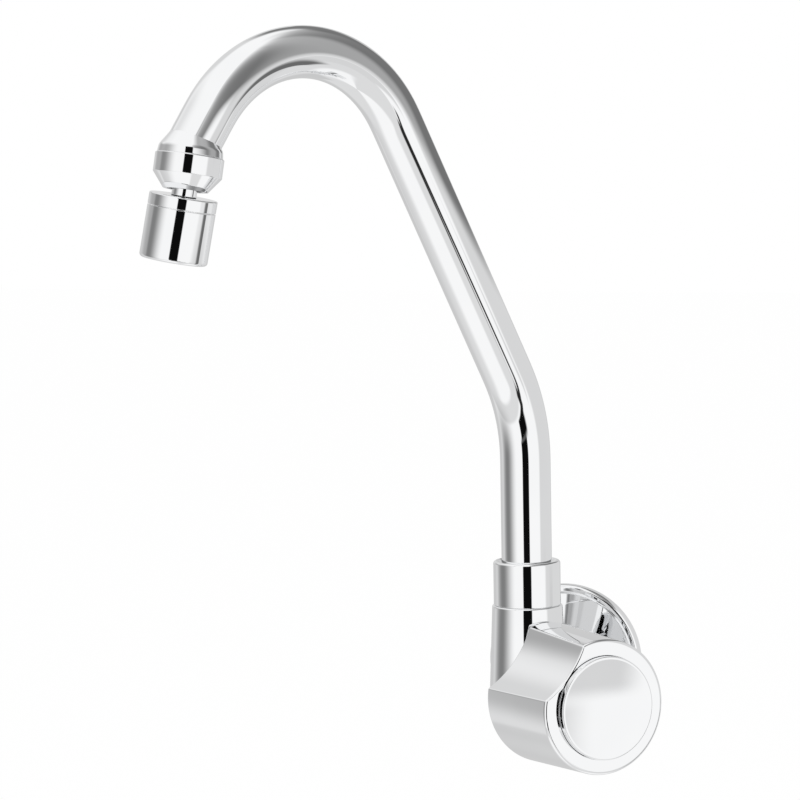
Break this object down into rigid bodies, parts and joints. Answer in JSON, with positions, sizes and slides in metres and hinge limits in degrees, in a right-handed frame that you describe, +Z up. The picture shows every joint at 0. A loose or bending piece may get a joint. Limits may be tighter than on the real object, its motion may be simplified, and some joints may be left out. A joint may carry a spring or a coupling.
{
  "type": "wall-mounted kitchen faucet",
  "caption": "Wall-mounted kitchen faucet: swivelling gooseneck tube, screw-down valve with a scooped round knob, beaded wall plate and a ball-jointed aerator at the outlet.",
  "frame": {"origin": "centre of the inlet thread at the wall face", "axes": "+Y into the wall along the inlet thread, -Y to the room, +Z up, +X to the right as seen from the room"},
  "size_m": [0.164, 0.2144, 0.2827],
  "materials": {
    "chrome": "polished",
    "brass": "turned",
    "steel": "bright",
    "rubber": "matte",
    "plastic": "matte"
  },
  "bodies": {
    "body": {"valve_body": "chrome", "wall_escutcheon": "chrome", "wall_seal": "rubber", "spout_collar": "chrome", "slip_ring": "plastic", "bonnet": "brass", "bonnet_gasket": "rubber"},
    "knob_set": {"knob": "chrome", "knob_cap": "chrome", "knob_screw": "steel", "spindle": "brass", "spindle_o_rings": "rubber", "spindle_clip": "steel"},
    "plunger_set": {"plunger": "brass", "seat_washer": "rubber", "washer_screw": "brass"},
    "spout_set": {"spout_tube": "chrome", "spout_ferrule": "brass", "spout_o_rings": "rubber", "outlet_adapter": "chrome", "ball_nut": "chrome", "ball_seal": "rubber"},
    "ball_ring": {"ball_seat": "plastic"},
    "aerator_set": {"ball_stem": "chrome", "aerator_shell": "chrome", "aerator_gasket": "rubber", "aerator_insert": "plastic", "aerator_screens": "steel"}
  },
  "joints": [
    {"name": "knob_turn", "type": "hinge", "parent": "body", "child": "knob_set", "pos_m": [0, -0.0625, 0], "axis": [0.6947, -0.7193, 0], "range_deg": [0, 450]},
    {"name": "plunger_lift", "type": "slide", "parent": "body", "child": "plunger_set", "axis": [0.6947, -0.7193, 0], "range_m": [0, 0.003]},
    {"name": "spout_swivel", "type": "hinge", "parent": "body", "child": "spout_set", "pos_m": [0, -0.0625, 0], "axis": [0, 0, 1], "range_deg": [-54, 126]},
    {"name": "ball_swivel", "type": "hinge", "parent": "spout_set", "child": "ball_ring", "pos_m": [-0.09009, -0.1865, 0.20249], "axis": [-0.1122, -0.1544, -0.9816], "continuous": true},
    {"name": "aerator_tilt", "type": "hinge", "parent": "ball_ring", "child": "aerator_set", "pos_m": [-0.09009, -0.1865, 0.20249], "axis": [0.8252, 0.5359, -0.1786], "range_deg": [-20.7, 7.3]}
  ],
  "couplings": [
    {"joint": "plunger_lift", "follows": "knob_turn", "m_per_rad": 0.00038}
  ]
}
